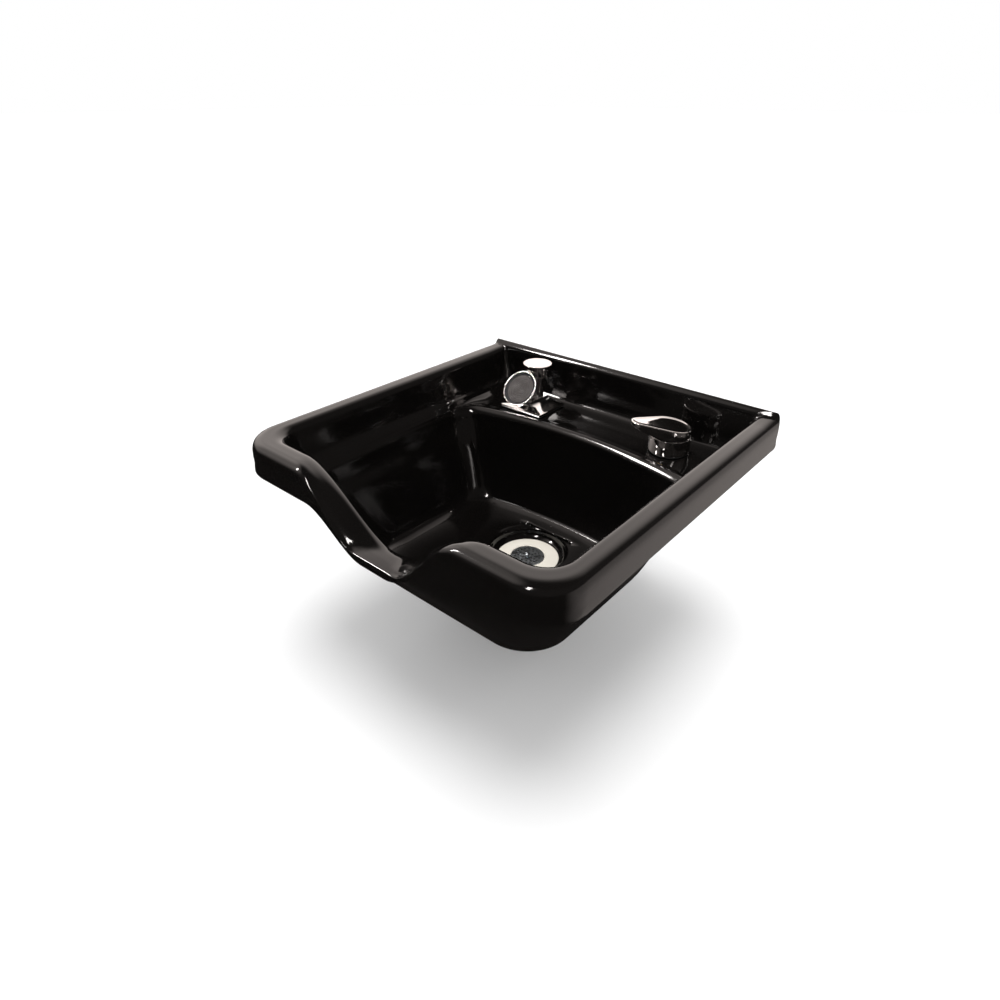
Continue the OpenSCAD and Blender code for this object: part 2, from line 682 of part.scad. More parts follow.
module breaker_bonnet() {
    color("silver") translate([-dock_x, -breaker_y, 0]) difference() {
        union() {
            rotate_extrude() polygon([[0, bonnet_top], [bonnet_r - 1, bonnet_top], [bonnet_r, bonnet_top - 1],
                [bonnet_r, bonnet_top - 18], [bonnet_r - 2, bonnet_top - 18], [bonnet_r - 2, bonnet_top - 2.5],
                [0, bonnet_top - 2.5]]);
            tube(bonnet_r - 1.9, 17 + thread_slack, bonnet_top - 15, bonnet_top - 10);
            tube(17, 11, chamber_high, bonnet_top - 2.4);
        }
        for (i = [0:5]) rotate(i * 60 + 30) {
            translate([18.8, 0, bonnet_top - 16]) cylinder(r = 1.4, h = 8);
            translate([9, 0, chamber_high + 3]) rotate([0, 90, 0]) cylinder(r = 1.6, h = 9);
        }
    }
}

/* Spray head */
face_y = hose_y + 21;
face_z = -22;
spray_deep = 20;
back_r = 10;

module at_spray() translate([-dock_x, -face_y, face_z]) rotate([90 - spray_tilt, 0, 0]) children();

// Bell of revolution from the small flat back to the open cup that holds the face
shell_r = spray_r - 1;
dish_r = shell_r - 0.5;
cup_r = 24;
cup_z = -5;
plug_r = 23;

module spray_bell(cup) {
    rotate_extrude() polygon(concat(
        [[0, -spray_deep]],
        [for (i = [0:8]) let (t = i / 8) [back_r + (shell_r - back_r) * pow(t, 0.7), -spray_deep + (spray_deep - 2) * t]],
        cup ? [[dish_r, -2], [cup_r, cup_z], [0, cup_z]] : [[0, -2]]));
}

module spray_shell() color("silver") at_spray() spray_bell(true);

module spray_ring() {
    color("silver") at_spray() rotate_extrude()
        polygon([[dish_r, -2], [spray_r, -2], [spray_r, -0.7], [spray_r - 0.6, 0], [dish_r, -0.4]]);
}

// Dark dish between the ring and the face
module spray_bezel() {
    color([0.08, 0.08, 0.08]) at_spray() rotate_extrude()
        polygon([[plug_r + 0.1, cup_z], [cup_r, cup_z], [dish_r, -2], [dish_r, -0.9], [plug_r + 0.1, cup_z + 1]]);
}

module spray_face() {
    face_high = -1.6;
    color([0.6, 0.57, 0.56]) at_spray() difference() {
        rotate_extrude() polygon([[0, cup_z], [plug_r, cup_z], [plug_r, face_high - 1], [plug_r - 1, face_high],
            [0, face_high]]);
        for (ring_i = [1:3], i = [0:ring_i * 6 - 1])
            rotate(i * 60 / ring_i) translate([ring_i * 6.4, 0, face_high - 1]) cylinder(r = 0.9, h = 3, $fn = 14);
    }
}

stem_low = -10.5;

module spray_stem() {
    color("silver") difference() {
        in_stem() {
            translate([0, 0, stem_low]) cylinder(r = stem_r, h = 19 - stem_low);
            translate([0, 0, boss_h + 1]) cylinder(r = stem_r + 2, h = 1.6);
        }
        at_spray() spray_bell(false);
        in_stem() translate([0, 0, stem_low - 1]) cylinder(r = 4.2, h = 16);
    }
}

bowl();
backing_board();
wall_bracket();
clamp_bolts();
clamp_washers();
board_inserts();
drain_flange();
drain_seal();
drain_gasket();
drain_washer();
drain_locknut();
strainer();
strainer_knob();
tailpiece_washer();
tailpiece_nut();
tailpiece();
mixer_gasket();
mixer_body();
mixer_shank();
mixer_washer();
mixer_locknut();
cartridge();
cartridge_nut();
cartridge_stem();
lever();
lever_screw();
lever_plug();
hot_tube();
cold_tube();
transfer_tube();
transfer_nuts();
dock_gasket();
dock_plate();
dock_shank();
dock_washer();
dock_locknut();
dock_bush();
breaker_body();
breaker_seal();
breaker_float();
breaker_bonnet();
spray_shell();
spray_ring();
spray_bezel();
spray_face();
spray_stem();
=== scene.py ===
"""The looks of a wall-hung shampoo bowl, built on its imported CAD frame.

Blender's lengths are metres. Values whose names end in _mm are millimetres, in the CAD's own frame.
"""

import json
import math

import bmesh
import bpy
import numpy as np
from mathutils import Matrix, Vector


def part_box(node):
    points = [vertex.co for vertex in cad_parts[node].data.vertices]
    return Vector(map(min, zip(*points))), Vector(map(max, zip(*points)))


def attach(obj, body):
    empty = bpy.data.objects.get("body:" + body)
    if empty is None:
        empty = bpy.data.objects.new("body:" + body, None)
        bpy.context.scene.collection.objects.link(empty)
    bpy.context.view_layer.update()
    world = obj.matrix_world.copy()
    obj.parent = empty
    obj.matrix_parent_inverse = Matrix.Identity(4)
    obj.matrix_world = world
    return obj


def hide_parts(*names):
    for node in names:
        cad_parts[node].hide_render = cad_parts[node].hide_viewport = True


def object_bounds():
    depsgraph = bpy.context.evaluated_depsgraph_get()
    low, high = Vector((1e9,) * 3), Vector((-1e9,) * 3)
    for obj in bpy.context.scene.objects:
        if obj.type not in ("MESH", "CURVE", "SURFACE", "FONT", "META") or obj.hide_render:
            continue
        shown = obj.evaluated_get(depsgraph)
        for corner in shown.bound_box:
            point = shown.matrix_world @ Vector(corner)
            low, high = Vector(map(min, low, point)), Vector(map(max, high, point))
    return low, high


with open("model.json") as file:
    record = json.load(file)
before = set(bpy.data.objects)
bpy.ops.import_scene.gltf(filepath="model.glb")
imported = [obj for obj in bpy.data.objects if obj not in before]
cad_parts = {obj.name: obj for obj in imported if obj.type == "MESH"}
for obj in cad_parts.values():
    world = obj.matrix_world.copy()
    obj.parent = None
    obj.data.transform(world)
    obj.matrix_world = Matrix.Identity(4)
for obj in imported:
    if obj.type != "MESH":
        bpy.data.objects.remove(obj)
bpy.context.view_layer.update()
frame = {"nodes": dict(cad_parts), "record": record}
record = frame["record"]
MM = 0.001
TURN = 2 * math.pi


# ---------- Materials ----------


def material(name, colour, roughness, metallic=0.0, fine_mm=1.5, spread=0.15, rough_spread=0.3, bump=0.05,
             streak=None, coat=0.0, ior=1.5):
    """A procedural finish: noise varies the colour and the roughness, and a finer noise makes the bump.

    fine_mm is the size of the bump's grain. streak stretches the noise along one axis, for brushed metal
    or wood.
    """
    made = bpy.data.materials.new(name)
    made.use_nodes = True
    nodes = made.node_tree.nodes
    link = made.node_tree.links.new
    shader = nodes["Principled BSDF"]
    shader.inputs["Metallic"].default_value = metallic
    shader.inputs["IOR"].default_value = ior
    shader.inputs["Coat Weight"].default_value = coat
    shader.inputs["Coat Roughness"].default_value = 0.03
    place = nodes.new("ShaderNodeTexCoord")
    stretch = nodes.new("ShaderNodeMapping")
    stretch.inputs["Scale"].default_value = streak or (1, 1, 1)
    link(place.outputs["Object"], stretch.inputs["Vector"])

    patch = nodes.new("ShaderNodeTexNoise")
    patch.inputs["Scale"].default_value = 1 / (fine_mm * 25 * MM)
    patch.inputs["Detail"].default_value = 5
    link(stretch.outputs["Vector"], patch.inputs["Vector"])
    tint = nodes.new("ShaderNodeValToRGB")
    tint.color_ramp.elements[0].position = 0.3
    tint.color_ramp.elements[0].color = (*[c * (1 - spread) for c in colour], 1)
    tint.color_ramp.elements[1].position = 0.7
    tint.color_ramp.elements[1].color = (*[min(1, c * (1 + spread)) for c in colour], 1)
    link(patch.outputs["Fac"], tint.inputs["Fac"])
    link(tint.outputs["Color"], shader.inputs["Base Color"])
    wear = nodes.new("ShaderNodeMapRange")
    wear.inputs["From Min"].default_value = 0.3
    wear.inputs["From Max"].default_value = 0.7
    wear.inputs["To Min"].default_value = roughness * (1 - rough_spread)
    wear.inputs["To Max"].default_value = roughness * (1 + rough_spread)
    link(patch.outputs["Fac"], wear.inputs["Value"])
    link(wear.outputs["Result"], shader.inputs["Roughness"])

    grain = nodes.new("ShaderNodeTexNoise")
    grain.inputs["Scale"].default_value = 1 / (fine_mm * MM)
    grain.inputs["Detail"].default_value = 2
    link(stretch.outputs["Vector"], grain.inputs["Vector"])
    relief = nodes.new("ShaderNodeBump")
    relief.inputs["Strength"].default_value = bump
    relief.inputs["Distance"].default_value = fine_mm * MM
    link(grain.outputs["Fac"], relief.inputs["Height"])
    link(relief.outputs["Normal"], shader.inputs["Normal"])
    return made


def bowl_gloss():
    """Moulded black gel coat: near-black, with slow waves and a fine orange peel in its reflections."""
    made = material("bowl_gloss", (0.003, 0.0026, 0.0024), 0.09, fine_mm=5.0, bump=0.006, rough_spread=0.3)
    nodes = made.node_tree.nodes
    link = made.node_tree.links.new
    relief = nodes["Bump"]
    wave = nodes.new("ShaderNodeTexNoise")
    wave.inputs["Scale"].default_value = 26
    wave.inputs["Detail"].default_value = 1
    link(nodes["Mapping"].outputs["Vector"], wave.inputs["Vector"])
    swell = nodes.new("ShaderNodeBump")
    swell.inputs["Strength"].default_value = 0.03
    swell.inputs["Distance"].default_value = 0.004
    link(wave.outputs["Fac"], swell.inputs["Height"])
    link(swell.outputs["Normal"], relief.inputs["Normal"])
    return made


BRUSHED = (1, 1, 14)
GRAIN = (0.12, 1, 1)
finishes = {
    "bowl_gloss": bowl_gloss(),
    "board": material("board", (0.32, 0.21, 0.12), 0.55, fine_mm=1.2, spread=0.4, bump=0.25, streak=GRAIN),
    "bracket_steel": material("bracket_steel", (0.028, 0.028, 0.03), 0.4, fine_mm=0.9, bump=0.12),
    "zinc": material("zinc", (0.6, 0.61, 0.62), 0.32, 1.0, fine_mm=0.8, bump=0.04),
    "brass": material("brass", (0.72, 0.52, 0.24), 0.3, 1.0, fine_mm=0.8, bump=0.05),
    "drain_enamel": material("drain_enamel", (0.82, 0.77, 0.68), 0.22, fine_mm=2.0, spread=0.05, bump=0.03),
    "rubber": material("rubber", (0.022, 0.022, 0.022), 0.7, fine_mm=0.7, bump=0.15),
    "washer_plastic": material("washer_plastic", (0.72, 0.7, 0.64), 0.5, fine_mm=0.9, spread=0.06, bump=0.05),
    "strainer_steel": material("strainer_steel", (0.42, 0.46, 0.49), 0.3, 1.0, fine_mm=0.5, bump=0.05),
    "chrome": material("chrome", (0.83, 0.81, 0.8), 0.045, 1.0, fine_mm=3.0, spread=0.03, bump=0.006),
    "stem_steel": material("stem_steel", (0.55, 0.55, 0.53), 0.3, 1.0, fine_mm=0.5, bump=0.05,
                           streak=BRUSHED),
    "dark_plastic": material("dark_plastic", (0.03, 0.03, 0.032), 0.45, fine_mm=0.6, bump=0.08),
    "copper": material("copper", (0.68, 0.34, 0.2), 0.28, 1.0, fine_mm=1.0, spread=0.2, bump=0.04,
                       streak=BRUSHED),
    "spray_grey": material("spray_grey", (0.02, 0.0135, 0.0125), 0.5, fine_mm=0.5, spread=0.1, bump=0.06),
}
slot_of = {row["node"]: row["material_slot"] for row in record["subparts"]}
body_with = {node: body for body, nodes in record["behaviour"]["bodies"].items() for node in nodes}

for node, thing in frame["nodes"].items():
    thing.data.materials.clear()
    thing.data.materials.append(finishes[slot_of[node]])


def add_piece(name, mesh, *nodes, smooth_angle=35):
    """Makes the object that stands for the CAD nodes, with the finish and body of the first one."""
    for face in mesh.polygons:
        face.use_smooth = True
    thing = bpy.data.objects.new(name, mesh)
    bpy.context.scene.collection.objects.link(thing)
    mesh.materials.append(finishes[slot_of[nodes[0]]])
    mesh.set_sharp_from_angle(angle=math.radians(smooth_angle))
    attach(thing, body_with[nodes[0]])
    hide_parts(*nodes)
    return thing


def mesh_of_rings(name, rings, closed):
    """A closed mesh through rings of equally many points: the last joins the first, or the ends get caps."""
    rings = np.asarray(rings, float)
    count, around = rings.shape[:2]
    bm = bmesh.new()
    verts = [bm.verts.new(p) for p in rings.reshape(-1, 3)]
    for k in range(count if closed else count - 1):
        low, high = k * around, (k + 1) % count * around
        for i in range(around):
            j = (i + 1) % around
            bm.faces.new((verts[low + i], verts[low + j], verts[high + j], verts[high + i]))
    if not closed:
        bm.faces.new(verts[:around][::-1])
        bm.faces.new(verts[-around:])
    bmesh.ops.remove_doubles(bm, verts=bm.verts, dist=1e-7)
    bmesh.ops.recalc_face_normals(bm, faces=bm.faces)
    mesh = bpy.data.meshes.new(name)
    bm.to_mesh(mesh)
    bm.free()
    return mesh


# ---------- Bowl ----------

half_w, bowl_d = 254.0, 508.0
skirt_h, deck_z, deck_under, floor_z, sump_z, sump_t = 44.0, 64.0, 74.0, 206.0, 226.0, 10.0
neck_dip, neck_reach, flange_h, drain_y, front_r = 77.0, 150.0, 7.0, 222.0, 50.0
AROUND = {"front": 30, "corner": 14, "side": 12, "rear": 18}
BETWEEN = 4


def smooth(t):
    c = np.clip(t, 0, 1)
    return c * c * (3 - 2 * c)


def ring(inset, radius, z, dip=(0, 0, 100), bow=0.0):
    """One ring of the shell in millimetres, from the middle of the front round to the right.

    The insets are [side, front, rear] from the outer box, the heights [side, rear] from the rim, and
    dip is the neck rest's depth, flat half and reach.
    """
    hx, front, rear = half_w - inset[0], inset[1] - bowl_d, -inset[2]
    rf, rb = radius
    turn = math.atan(2 * bow / (hx - rb))
    x_end = hx - rb + rb * math.sin(turn)
    cy = rear - bow - rb * math.cos(turn)
    steps = {k: np.arange(1, n + 1) / n for k, n in AROUND.items()}
    x = (hx - rf) * np.concatenate([[0], steps["front"]])
    dips = dip[0] * smooth((dip[2] - x) / (dip[2] - dip[1]))
    stretches = [np.stack([x, front + 0 * x, z[0] - dips], 1)]
    a = math.pi / 2 * steps["corner"] - math.pi / 2
    stretches.append(np.stack([hx - rf + rf * np.cos(a), front + rf + rf * np.sin(a), z[0] + 0 * a], 1))
    t = steps["side"]
    stretches.append(np.stack([hx + 0 * t, front + rf + (cy - front - rf) * t, z[0] + 0 * t], 1))
    a = (math.pi / 2 - turn) * steps["corner"]
    rise = z[0] + (z[1] - z[0]) * smooth(steps["corner"])
    stretches.append(np.stack([hx - rb + rb * np.cos(a), cy + rb * np.sin(a), rise], 1))
    x = x_end * (1 - steps["rear"])
    stretches.append(np.stack([x, rear - bow * (x / x_end) ** 2, z[1] + 0 * x], 1))
    right = np.concatenate(stretches)
    left = right[-2:0:-1] * (-1, 1, 1)
    return np.concatenate([right, left])


def bowl_rings():
    """The rings of the whole shell: up the skirt, over the rim, into the basin, and back up underneath."""
    corner = (front_r, 5)
    rim = [
        ring((0, 0, 0), corner, (-skirt_h, -skirt_h), (neck_dip * 0.6, 20, 115)),
        ring((0, 0, 0), corner, (-30, -28), (neck_dip * 0.7, 25, 118)),
        ring((0, 0, 0), corner, (-18, 2), (neck_dip * 0.83, 30, 121)),
        ring((0.8, 1, 0.6), corner, (-9, flange_h - 1.6), (neck_dip * 0.92, 33, 124)),
        ring((3, 4, 2), (49, 5), (-3.5, flange_h - 0.2), (neck_dip * 0.98, 34, 127)),
        ring((8, 9, 3.4), (46, 4.5), (-0.6, flange_h), (neck_dip, 28, 131)),
        ring((17, 19, 5.4), (42, 4.2), (0, flange_h - 1), (neck_dip, 16, 138)),
        ring((25, 29, 7.6), (38, 4), (-1, flange_h - 2.8), (neck_dip, 4, 146)),
        ring((30, 36, 9.6), (33, 4), (-5, flange_h - 5.6), (neck_dip, 0, neck_reach)),
        ring((32.5, 39.5, 11), (30, 5), (-14, -6), (neck_dip, 0, neck_reach)),
    ]
    deck = [
        ring((36, 42, 13), (32, 10), (-34, -32), (62, 0, neck_reach)),
        ring((40, 44.5, 15.5), (36, 14), (-49, -52), (54, 0, neck_reach)),
        ring((43.5, 46, 19), (38, 15), (-55, -60.5), (51, 0, neck_reach)),
        ring((45, 47, 26), (40, 16), (-58, -deck_z), (49, 0, neck_reach)),
        ring((46, 48, 60), (42, 18), (-60, -deck_z), (48, 0, neck_reach)),
        ring((47, 49, 97), (44, 26), (-62, -deck_z), (47, 0, neck_reach), 21),
        ring((48, 50, 102), (46, 30), (-64, 1.8 - deck_z), (46, 0, neck_reach), 22),
        ring((49, 51, 107), (48, 32), (-66.5, 2.2 - deck_z), (45, 0, neck_reach), 22),
        ring((50.5, 52, 111.5), (50, 34), (-70, -1.5 - deck_z), (43, 0, neck_reach), 22),
    ]
    basin = [
        ring((54, 55, 115), (54, 36), (-85, -80), (36, 0, neck_reach), 22),
        ring((65, 62, 121), (60, 40), (-115, -110), (22, 0, neck_reach), 20),
        ring((77, 74, 129), (64, 42), (-148, -146), (9, 0, neck_reach), 16),
        ring((89, 90, 139), (66, 42), (-178, -177), (0, 0, neck_reach), 12),
        ring((95, 97, 145), (66, 40), (-191, -190), (0, 0, neck_reach), 10),
        ring((101, 104, 151), (64, 38), (-200, -200), (0, 0, neck_reach), 9),
        ring((110, 115, 160), (60, 34), (2 - floor_z, 2 - floor_z), (0, 0, neck_reach), 8),
        ring((122, 129, 170), (56, 30), (-floor_z, -floor_z), (0, 0, neck_reach), 4),
    ]
    turn = np.arctan2(basin[-1][:, 1] + drain_y, basin[-1][:, 0])

    def round_ring(r, z):
        return np.stack([r * np.cos(turn), r * np.sin(turn) - drain_y, z + 0 * turn], 1)

    under_sump = -sump_z - sump_t
    sump_profile = [(64, -floor_z - 3), (59, -floor_z - 5), (55, 4 - sump_z), (51, -sump_z),
                    (29, -sump_z), (29, under_sump), (58, under_sump), (66, -sump_z - 6)]
    sump = [round_ring(r, z) for r, z in sump_profile]
    under = [
        ring((110, 114, 158), (58, 34), (-floor_z - 10, -floor_z - 10), (0, 0, neck_reach), 6),
        ring((97, 101, 148), (62, 38), (-floor_z - 5, -floor_z - 5), (0, 0, neck_reach), 8),
        ring((90, 93, 140), (66, 42), (6 - floor_z, 6 - floor_z), (0, 0, neck_reach), 9),
        ring((82, 83, 131), (66, 42), (-182, -182), (0, 0, neck_reach), 12),
        ring((69.5, 66, 121), (64, 42), (-150, -148), (9, 0, neck_reach), 16),
        ring((57, 53, 113), (60, 40), (-117, -110), (22, 0, neck_reach), 20),
        ring((46, 46, 106), (54, 36), (-86, -83), (36, 0, neck_reach), 20),
        ring((43, 43.5, 101), (50, 34), (-76, -deck_under), (40, 0, neck_reach), 20),
        ring((41.5, 42, 60), (46, 26), (-70, -deck_under), (44, 0, neck_reach)),
        ring((39, 40, 16), (42, 14), (-64, -deck_under), (47, 0, neck_reach)),
        ring((34, 36.5, 11), (38, 10), (-50, -69), (53, 0, neck_reach)),
        ring((27.5, 33, 9.6), (34, 7), (-20, -62), (68, 0, neck_reach)),
        ring((22, 28, 8.8), (36, 5), (-10, -57), (neck_dip - 1, 8, 144)),
        ring((13, 16, 8.2), (40, 4), (-8.6, -53), (neck_dip - 1, 22, 134)),
        ring((8.5, 9.5, 7.4), (43, 4), (-13, -49), (neck_dip - 6, 32, 126)),
        ring((7, 8, 7), (43, 4), (-20, -46), (neck_dip - 14, 28, 120)),
        ring((6.5, 7.5, 6.6), (43, 4), (0.5 - skirt_h, 0.5 - skirt_h), (neck_dip * 0.6, 20, 115)),
    ]
    return np.array(rim + deck + basin + sump + under)


def curve_through(rings, steps):
    """More rings between the given ones, on a smooth curve through them. The last ring joins the first."""
    after = np.roll(rings, -1, 0)
    chord = np.linalg.norm(after - rings, axis=2, keepdims=True) + 1e-6
    slope = (after - rings) / chord
    before = np.roll(chord, 1, 0)
    tangent = (slope * before + np.roll(slope, 1, 0) * chord) / (chord + before)
    made = []
    for k in range(len(rings)):
        a, b = rings[k], after[k]
        ta, tb = tangent[k] * chord[k], np.roll(tangent, -1, 0)[k] * chord[k]
        for t in np.arange(steps) / steps:
            made.append((1 + 2 * t) * (1 - t) ** 2 * a + t * (1 - t) ** 2 * ta
                        + t * t * (3 - 2 * t) * b + t * t * (t - 1) * tb)
    return np.array(made)


def make_bowl():
    rings = curve_through(bowl_rings(), BETWEEN) * MM
    low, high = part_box("bowl")
    rings = np.clip(rings, np.array(low), np.array(high))
    add_piece("bowl_shell", mesh_of_rings("bowl_shell", rings, closed=True), "bowl", smooth_angle=70)


make_bowl()


# ---------- Turned pieces ----------


def rounded(outline, radius, steps=4):
    """A closed outline of (r, z) points in millimetres with each corner off the axis rounded."""
    pts = [np.array(p, float) for p in outline]
    made = []
    for k, p in enumerate(pts):
        to_before, to_after = pts[k - 1] - p, pts[(k + 1) % len(pts)] - p
        reach = min(radius, 0.45 * np.linalg.norm(to_before), 0.45 * np.linalg.norm(to_after))
        if p[0] < 1e-6:
            made.append(p)
            continue
        a = p + to_before / np.linalg.norm(to_before) * reach
        b = p + to_after / np.linalg.norm(to_after) * reach
        for t in np.arange(steps + 1) / steps:
            made.append((1 - t) ** 2 * a + 2 * t * (1 - t) * p + t * t * b)
    return made


def turned(name, outline, matrix, *nodes, segments=128, smooth_angle=35):
    """A piece of revolution: the closed outline of (r, z) in millimetres turns about the matrix's Z axis."""
    angles = TURN * np.arange(segments) / segments
    rings = [[matrix @ Vector((r * math.cos(a) * MM, r * math.sin(a) * MM, z * MM)) for a in angles]
             for r, z in outline]
    mesh = mesh_of_rings(name, rings, closed=True)
    return add_piece(name, mesh, *nodes, smooth_angle=smooth_angle)


def on_axis(node):
    """The matrix of a node's own upright axis, at the height of the frame's origin."""
    low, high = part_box(node)
    return Matrix.Translation(((low.x + high.x) / 2, (low.y + high.y) / 2, 0))


def heights(node):
    """The radius and the lowest and highest points of an upright round node, in millimetres."""
    low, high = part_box(node)
    return (high.x - low.x) / 2 / MM, low.z / MM, high.z / MM


def make_mixer_body():
    r, low, high = heights("mixer_body")
    shoulder, neck = high - 1.6, r - 4.5
    outline = [(16.6, low), (r - 0.4, low), (r - 0.4, low + 1.2), (r, low + 1.6), (r, shoulder),
               (neck, shoulder), (neck, high), (17.6, high), (17.6, low + 9), (16.6, low + 9)]
    turned("mixer_barrel", rounded(outline, 0.5), on_axis("mixer_body"), "mixer_body")


def make_breaker():
    r, low, high = heights("breaker_bonnet")
    outline = [(0, high), (r, high), (r, low + 1.4), (r - 0.5, low + 0.9), (r - 0.5, low), (r - 2, low),
               (r - 2, high - 2.5), (0, high - 2.5)]
    turned("breaker_cap", rounded(outline, 0.6), on_axis("breaker_bonnet"), "breaker_bonnet")


def make_drain():
    r, low, high = heights("drain_flange")
    seat = heights("strainer")[0] + 0.4
    barrel, bore, rim_low = 28.5, 23.5, -sump_z + 0.8
    crown = [(seat + 3.4 + (r - 0.8 - seat - 3.4) * t, high - 0.3 - 1.6 * t ** 2.4) for t in np.arange(9) / 8]
    outline = [(bore, low), (bore, -sump_z - 6), (seat, -sump_z - 2), (seat, high - 1.4),
               (seat + 0.8, high - 0.3), (seat + 1.8, high), (seat + 2.8, high - 0.1), *crown,
               (r, high - 2.4), (r, rim_low), (barrel, rim_low), (barrel, low)]
    turned("drain_cup", rounded(outline, 0.3, 2), on_axis("drain_flange"), "drain_flange", segments=160)


make_mixer_body()
make_breaker()
make_drain()


# ---------- Lever ----------

# The hood's lower edge lies below the hinge pin, and its top above it at the mixer's axis
HOOD_DROP, HOOD_RISE = 3.5, 11.5
HOOD_TILT, REAR_RELIEF = math.radians(9), math.radians(14)
HOOD_HUB_R, HOOD_TIP_R, HOOD_APART, TIP_DEPTH = 29.0, 13.5, 45.5, 6.0
WELL_R, PIN_R, PIN_HALF, SCREW_R, SCREW_DEPTH = 27.0, 1.6, 24.0, 1.8, 6.0
# The top's section, from the wall over the raised rim into the dish: inset from the outline, and height
HOOD_TOP = [(0, -1.6), (0.15, -0.8), (0.7, -0.2), (1.5, 0), (2.6, -0.1), (3.8, -0.7), (6, -1.3), (9, -1.7),
            (12.5, -1.8)]


def teardrop(big, small, apart, count=144):
    """Points in millimetres round the hull of a circle at the origin and a smaller one along +X."""
    phi = math.acos((big - small) / apart)
    n = count // 6
    tip_turns = np.linspace(-phi, phi, n, endpoint=False)
    hub_turns = np.linspace(phi, TURN - phi, 3 * n, endpoint=False)
    tip = [(apart + small * math.cos(a), small * math.sin(a)) for a in tip_turns]
    hub = [(big * math.cos(a), big * math.sin(a)) for a in hub_turns]
    a_end = (apart + small * math.cos(phi), small * math.sin(phi))
    b_end = (big * math.cos(phi), big * math.sin(phi))
    up = [np.array(a_end) * (1 - t) + np.array(b_end) * t for t in np.arange(n) / n]
    down = [p * (1, -1) for p in (np.array(b_end) * (1 - t) + np.array(a_end) * t for t in np.arange(n) / n)]
    return np.array([*tip, *up, *hub, *down])


def bore(thing, matrix, radius_mm, length_mm):
    """Cuts a round hole that starts at the matrix's origin and runs up its Z axis."""
    bpy.ops.mesh.primitive_cylinder_add(vertices=48, radius=radius_mm * MM, depth=length_mm * MM)
    cutter = bpy.context.object
    cutter.matrix_world = matrix @ Matrix.Translation((0, 0, length_mm * MM / 2))
    step = thing.modifiers.new("hole", "BOOLEAN")
    step.operation, step.solver, step.object = "DIFFERENCE", "EXACT", cutter
    bpy.context.view_layer.update()
    result = bpy.data.meshes.new_from_object(thing.evaluated_get(bpy.context.evaluated_depsgraph_get()))
    thing.modifiers.remove(step)
    thing.data = result
    bpy.data.objects.remove(cutter)


def make_lever():
    """The hood: an upright-walled teardrop with a raised bright rim round a dished, sloping top."""
    joints = {j["name"]: j for j in record["behaviour"]["joints"]}
    turn, lift = joints["temperature_turn"], joints["lever_lift"]
    hub = Vector((turn["pos_m"][0], turn["pos_m"][1], 0))
    away = hub - Vector((*lift["pos_m"][:2], 0))
    heading, pin_z = math.atan2(away.y, away.x), lift["pos_m"][2] / MM
    hood_low, hood_mid, slope = pin_z - HOOD_DROP, pin_z + HOOD_RISE, math.tan(HOOD_TILT)
    relief_x, belly_x, end_x = -12.0, 20.0, HOOD_APART + HOOD_TIP_R + 1
    belly_slope = (hood_mid + end_x * slope - TIP_DEPTH - hood_low) / (end_x - belly_x)
    matrix = Matrix.Translation(hub) @ Matrix.Rotation(heading, 4, "Z")

    def above(xy, offset):
        return np.column_stack([xy, hood_mid + xy[:, 0] * slope + offset])

    def below(xy, offset):
        rear_rise = np.maximum(0, relief_x - xy[:, 0]) * math.tan(REAR_RELIEF)
        tip_rise = np.maximum(0, xy[:, 0] - belly_x) * belly_slope
        return np.column_stack([xy, hood_low + rear_rise + tip_rise + offset])

    def outline(inset):
        return teardrop(HOOD_HUB_R - inset, HOOD_TIP_R - inset, HOOD_APART)

    well = outline(0)
    well = well / np.linalg.norm(well, axis=1, keepdims=True) * WELL_R
    layers = [
        below(well, 0), below(outline(0.5), 0), below(outline(0.12), 0.15), below(outline(0), 0.6),
        *[above(outline(inset), offset) for inset, offset in HOOD_TOP],
    ]
    ceiling = above(well, -3.4)
    rings = [[matrix @ Vector(p * MM) for p in points] for points in [ceiling, *layers]]
    mesh = mesh_of_rings("lever_hood", rings, closed=False)
    hood = add_piece("lever_hood", mesh, "lever", smooth_angle=50)
    screw_low, screw_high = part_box("lever_screw")
    outward = Matrix.Rotation(heading + math.pi, 4, "Z") @ Matrix.Rotation(math.pi / 2, 4, "Y")
    bore(hood, Matrix.Translation((screw_low + screw_high) / 2) @ outward, SCREW_R, SCREW_DEPTH)
    across = Matrix.Rotation(heading, 4, "Z") @ Matrix.Rotation(math.pi / 2, 4, "X")
    pin = [(0, -PIN_HALF), (PIN_R, -PIN_HALF), (PIN_R, PIN_HALF), (0, PIN_HALF)]
    turned("lever_pin", pin, Matrix.Translation(lift["pos_m"]) @ across, "lever", segments=48)


make_lever()


# ---------- Spray dock ----------

PLATE_RISE, STEM_FORWARD, STEM_LEAN = 15, 14, math.radians(25)
HOSE_R, BOSS_R, BOSS_FOOT, PORT_R = 8.5, 11.0, -8, 5


def stem_matrix():
    """The leaning spray stem's frame: Z up along the slide, and the origin on the plate's flat top."""
    joint = next(j for j in record["behaviour"]["joints"] if j["name"] == "spray_lift")
    axis = Vector(joint["axis"]).normalized()
    low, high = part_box("dock_gasket")
    origin = Vector(((low.x + high.x) / 2, (low.y + high.y) / 2 - STEM_FORWARD * MM, high.z + PLATE_RISE * MM))
    return Matrix.Translation(origin) @ Vector((0, 0, 1)).rotation_difference(axis).to_matrix().to_4x4()


